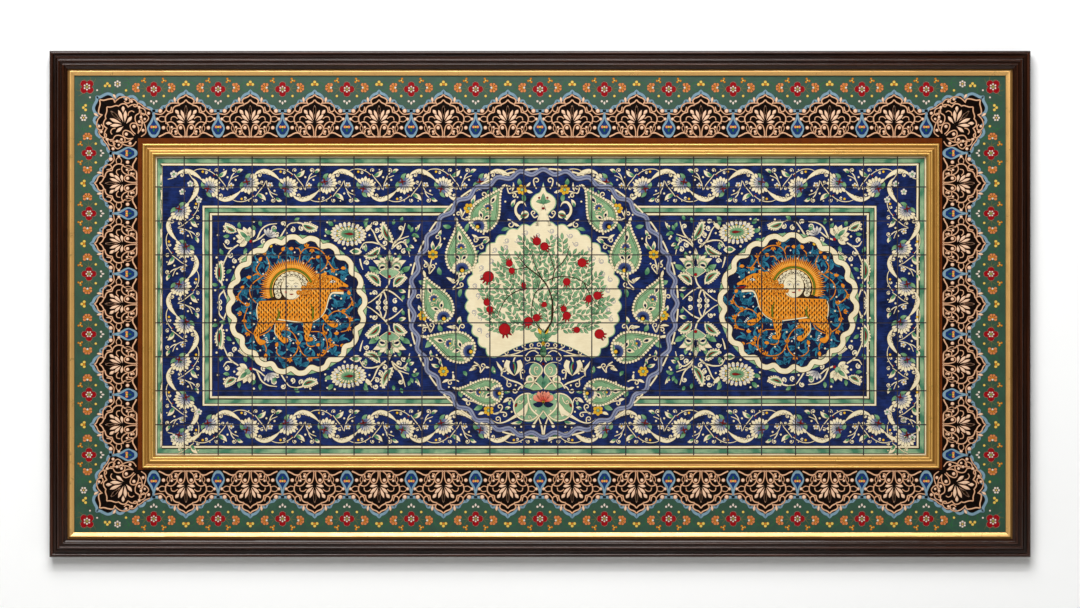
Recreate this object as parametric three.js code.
// A framed wall panel of painted tiles. Millimetres, +Z up, the picture faces -Y.
// The origin is the centre of the flat back, which lies in the plane y = 0.

import * as THREE from 'three';

// Whole panel, outside edge to outside edge
const PANEL_WIDTH = 2885;
const PANEL_HEIGHT = 1489;

// Tiles: square, laid edge to edge, each row bedded and grouted as one
const TILE_SIZE = 100;
const TILE_COLUMNS = 23;
const TILE_ROWS = 9;
const TILE_THICKNESS = 9;
const JOINT_HALF_WIDTH = 1.2;
const JOINT_DEPTH = 1.2;

// The window that shows the tiles, and how far it sits right of and below the panel's middle
const WINDOW_WIDTH = 2268;
const WINDOW_HEIGHT = 879;
const WINDOW_RIGHT = 2.5;
const WINDOW_DROP = 5.5;

// Boards, and where the outer edge of both lies inside the panel's edge
const BACKING_THICKNESS = 10;
const BORDER_THICKNESS = 16;
const BOARD_INSET = 50;

// How far the inner moulding reaches over the tiles and over the border board
const MOULDING_WIDTH = 38;
const MOULDING_OVER_TILES = 20;
const TILE_CLEARANCE = 2.2;

// Space left between pieces that touch
const GAP = 0.3;

// Heights above the back plane
const BED_HEIGHT = BACKING_THICKNESS + GAP;
const TILE_FRONT = BED_HEIGHT + TILE_THICKNESS;
const BORDER_FRONT = BED_HEIGHT + BORDER_THICKNESS;

const FINISHES = {
  backing: { color: 0x8a6a45, roughness: 0.85, metalness: 0 },
  border: { color: 0x1c4430, roughness: 0.5, metalness: 0 },
  darkWood: { color: 0x2c1508, roughness: 0.3, metalness: 0 },
  gilt: { color: 0xd2a85c, roughness: 0.35, metalness: 0.6 },
  tile: { color: 0x1a2a5e, roughness: 0.15, metalness: 0 },
};

const panel = new THREE.Group();

function addMesh(parent, name, geometry, finish) {
  const mesh = new THREE.Mesh(geometry, new THREE.MeshStandardMaterial(FINISHES[finish]));
  mesh.name = name;
  parent.add(mesh);
  return mesh;
}

const BEAD_STEPS = 6;

// A round bead of a profile: it spans from start to end and rises from the height base.
function bead(start, end, base, rise) {
  const points = [];
  for (let i = 0; i <= BEAD_STEPS; i += 1) {
    const turn = Math.PI * (i / BEAD_STEPS);
    const along = (1 - Math.cos(turn)) / 2;
    points.push([start + (end - start) * along, base + rise * Math.sin(turn)]);
  }
  return points;
}

// One mitred length of a moulding, as it lies along the top of a rectangle. The profile is given
// as pairs: distance in from the rectangle's edge, and height above the back plane.
function mitredLength(profile, edgeDistance, length) {
  const shape = new THREE.Shape(profile.map(([across, height]) => new THREE.Vector2(across, height)));
  const geometry = new THREE.ExtrudeGeometry(shape, { depth: 1, steps: 1, bevelEnabled: false });
  const position = geometry.attributes.position;
  for (let i = 0; i < position.count; i += 1) {
    const across = position.getX(i);
    const height = position.getY(i);
    const reach = length / 2 - across - GAP * Math.SQRT1_2;
    const side = position.getZ(i) > 0.5 ? -1 : 1;
    position.setXYZ(i, side * reach, -height, edgeDistance - across);
  }
  geometry.computeVertexNormals();
  return geometry;
}

// Four mitred lengths around a rectangle, as a frame maker cuts them.
function mitredFrame(parent, name, profile, width, height, finish) {
  const sides = ['top', 'right', 'bottom', 'left'];
  sides.forEach((side, index) => {
    const upright = index % 2 === 1;
    const edgeDistance = (upright ? width : height) / 2;
    const length = upright ? height : width;
    const geometry = mitredLength(profile, edgeDistance, length);
    const mesh = addMesh(parent, `${name}_${side}`, geometry, finish);
    mesh.rotation.y = index * (Math.PI / 2);
  });
}

// A flat board that stands from one height to another above the back plane, with an opening or not.
function board(width, height, low, high, opening = null) {
  const shape = rectangle(new THREE.Shape(), 0, 0, width, height);
  if (opening) {
    shape.holes.push(rectangle(new THREE.Path(), opening.x, opening.z, opening.width, opening.height));
  }
  const geometry = new THREE.ExtrudeGeometry(shape, { depth: high - low, bevelEnabled: false });
  geometry.rotateX(Math.PI / 2);
  geometry.translate(0, -low, 0);
  return geometry;
}

function rectangle(path, x, z, width, height) {
  path.moveTo(x - width / 2, z - height / 2);
  path.lineTo(x + width / 2, z - height / 2);
  path.lineTo(x + width / 2, z + height / 2);
  path.lineTo(x - width / 2, z + height / 2);
  path.closePath();
  return path;
}

// Outer frame: an outer lip, a groove, a fillet, two reeds and a slope down to the gilt slip,
// with a rebate behind that takes both boards.
const FRAME_WIDTH = 54;
const LIP_UNDERSIDE = 35.3;
const LIP_NOSE = 38;
const FRAME_REED_BASE = 45.5;
const FRAME_REED_RISE = 5;
const OUTER_LIP_BASE = 33;
const OUTER_LIP_RISE = 3.5;
const GROOVE_FLOOR = 31.5;
const FILLET_HEIGHT = 36;
const frameProfile = [
  [0, 0],
  [BOARD_INSET - GAP, 0],
  [BOARD_INSET - GAP, LIP_UNDERSIDE],
  [FRAME_WIDTH, LIP_UNDERSIDE],
  [FRAME_WIDTH, LIP_NOSE],
  [46, 44.5],
  ...bead(45.3, 37, FRAME_REED_BASE, FRAME_REED_RISE),
  ...bead(33.6, 24.4, FRAME_REED_BASE, FRAME_REED_RISE),
  [23.5, 43],
  [19.2, FILLET_HEIGHT],
  [15.8, FILLET_HEIGHT],
  [15.2, GROOVE_FLOOR],
  [12, GROOVE_FLOOR],
  ...bead(11, 1, OUTER_LIP_BASE, OUTER_LIP_RISE),
  [0, OUTER_LIP_BASE - 1],
];

// Gilt slip: a low heel under the frame's lip, a crest, and a wide facet down to the painted board.
const SLIP_INNER_EDGE = 73;
const SLIP_UNDERSIDE = BORDER_FRONT + GAP;
const SLIP_HEEL = 30;
const SLIP_CREST = 36;
const slipProfile = [
  [BOARD_INSET, SLIP_UNDERSIDE],
  [SLIP_INNER_EDGE, SLIP_UNDERSIDE],
  [SLIP_INNER_EDGE, 30.5],
  [72, 31.6],
  [61, SLIP_CREST],
  [58.8, 35.2],
  [57, SLIP_HEEL],
  [BOARD_INSET, SLIP_HEEL],
];

// Inner gilt moulding, from its outer edge in: a bead, a cove, two reeds and a drop to the tiles.
// Its underside is stepped, low over the tiles and high over the border board.
const OVER_BOARD = BORDER_FRONT + GAP;
const OVER_TILES = TILE_FRONT + TILE_CLEARANCE;
const STEP_ACROSS = MOULDING_WIDTH - MOULDING_OVER_TILES;
const INNER_NOSE = 27;
const GILT_REED_BASE = 35;
const GILT_REED_RISE = 3.2;
const OUTER_BEAD_BASE = 33;
const OUTER_BEAD_RISE = 3;
const mouldingProfile = [
  [0, OVER_BOARD],
  [STEP_ACROSS, OVER_BOARD],
  [STEP_ACROSS, OVER_TILES],
  [MOULDING_WIDTH, OVER_TILES],
  [MOULDING_WIDTH, INNER_NOSE],
  [34, 33.5],
  ...bead(33.4, 26.8, GILT_REED_BASE, GILT_REED_RISE),
  ...bead(26, 19.4, GILT_REED_BASE, GILT_REED_RISE),
  [18.4, 33.6],
  [15, 31],
  [10.5, 30.6],
  [7.6, 32.4],
  ...bead(7, 0.6, OUTER_BEAD_BASE, OUTER_BEAD_RISE),
  [0, OUTER_BEAD_BASE - 2],
];

const frame = new THREE.Group();
panel.add(frame);
mitredFrame(frame, 'frame', frameProfile, PANEL_WIDTH, PANEL_HEIGHT, 'darkWood');
mitredFrame(frame, 'gilt_slip', slipProfile, PANEL_WIDTH, PANEL_HEIGHT, 'gilt');

const boardWidth = PANEL_WIDTH - 2 * BOARD_INSET;
const boardHeight = PANEL_HEIGHT - 2 * BOARD_INSET;
addMesh(panel, 'backing_board', board(boardWidth, boardHeight, 0, BACKING_THICKNESS), 'backing');

const opening = {
  x: WINDOW_RIGHT,
  z: -WINDOW_DROP,
  width: WINDOW_WIDTH + 2 * (MOULDING_OVER_TILES + GAP),
  height: WINDOW_HEIGHT + 2 * (MOULDING_OVER_TILES + GAP),
};
addMesh(panel, 'border_board', board(boardWidth, boardHeight, BED_HEIGHT, BORDER_FRONT, opening), 'border');

// Everything inside the border sits about the window's own middle.
const middle = new THREE.Group();
middle.position.set(WINDOW_RIGHT, 0, -WINDOW_DROP);
panel.add(middle);
mitredFrame(
  middle,
  'gilt_moulding',
  mouldingProfile,
  WINDOW_WIDTH + 2 * MOULDING_WIDTH,
  WINDOW_HEIGHT + 2 * MOULDING_WIDTH,
  'gilt',
);

// A row of tiles seen from above: a flat bed, and a front with a grouted joint at each tile's edge.
function tileRow() {
  const halfWidth = (TILE_SIZE * TILE_COLUMNS) / 2;
  const shape = new THREE.Shape();
  shape.moveTo(-halfWidth, BED_HEIGHT);
  shape.lineTo(halfWidth, BED_HEIGHT);
  shape.lineTo(halfWidth, TILE_FRONT);
  for (let column = TILE_COLUMNS - 1; column > 0; column -= 1) {
    const joint = column * TILE_SIZE - halfWidth;
    shape.lineTo(joint + JOINT_HALF_WIDTH, TILE_FRONT);
    shape.lineTo(joint, TILE_FRONT - JOINT_DEPTH);
    shape.lineTo(joint - JOINT_HALF_WIDTH, TILE_FRONT);
  }
  shape.lineTo(-halfWidth, TILE_FRONT);
  shape.closePath();
  const geometry = new THREE.ExtrudeGeometry(shape, { depth: TILE_SIZE - GAP, bevelEnabled: false });
  geometry.translate(0, 0, -(TILE_SIZE - GAP) / 2);
  geometry.rotateZ(Math.PI);
  return geometry;
}

for (let row = 0; row < TILE_ROWS; row += 1) {
  const mesh = addMesh(middle, `tile_row_${row + 1}`, tileRow(), 'tile');
  mesh.position.z = ((TILE_ROWS - 1) / 2 - row) * TILE_SIZE;
}

export default panel;
